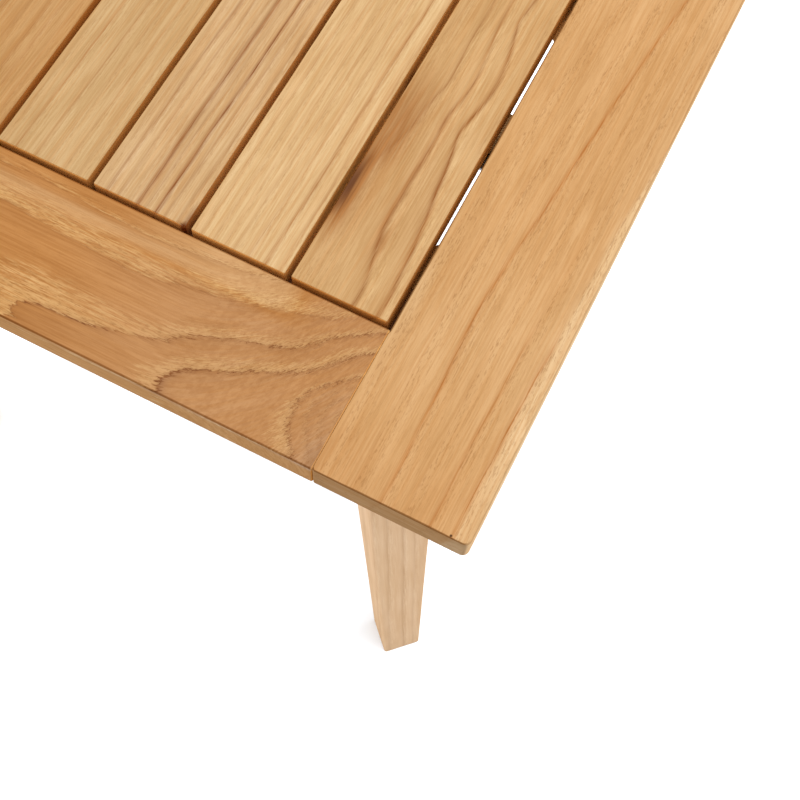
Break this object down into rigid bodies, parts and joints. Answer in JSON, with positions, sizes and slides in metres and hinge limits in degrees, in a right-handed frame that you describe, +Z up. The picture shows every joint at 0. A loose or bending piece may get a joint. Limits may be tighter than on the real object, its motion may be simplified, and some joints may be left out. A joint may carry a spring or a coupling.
{
  "type": "side table",
  "caption": "Square outdoor side table in teak: slatted top in a mortised frame on splayed, tapered legs set at 45 degrees and bolted to corner braces.",
  "frame": {"origin": "on the floor under the middle of the table top", "axes": "+Z up, +X to the table's right across the slats, -Y to the front along the slats"},
  "size_m": [0.5, 0.5, 0.45],
  "materials": {
    "teak_frame": "sanded, bare",
    "teak_slats": "sanded, bare",
    "teak_legs": "sanded, bare",
    "teak_underframe": "planed, bare",
    "bracket_steel": "satin",
    "screw_steel": "satin",
    "bolt_steel": "zinc plated"
  },
  "bodies": {
    "root": {"right_stile": "teak_frame", "left_stile": "teak_frame", "front_rail": "teak_frame", "rear_rail": "teak_frame", "slat_1": "teak_slats", "slat_2": "teak_slats", "slat_3": "teak_slats", "slat_4": "teak_slats", "slat_5": "teak_slats", "centre_batten": "teak_underframe", "bracket_right": "bracket_steel", "bracket_left": "bracket_steel", "brace_front_right": "teak_underframe", "leg_front_right": "teak_legs", "brace_rear_right": "teak_underframe", "leg_rear_right": "teak_legs", "brace_rear_left": "teak_underframe", "leg_rear_left": "teak_legs", "brace_front_left": "teak_underframe", "leg_front_left": "teak_legs", "slat_end_screws": "screw_steel", "slat_middle_screws": "screw_steel", "bracket_screws": "screw_steel", "brace_screws": "screw_steel", "leg_bolts": "bolt_steel", "leg_washers": "bolt_steel", "leg_nuts": "bolt_steel"}
  },
  "joints": []
}
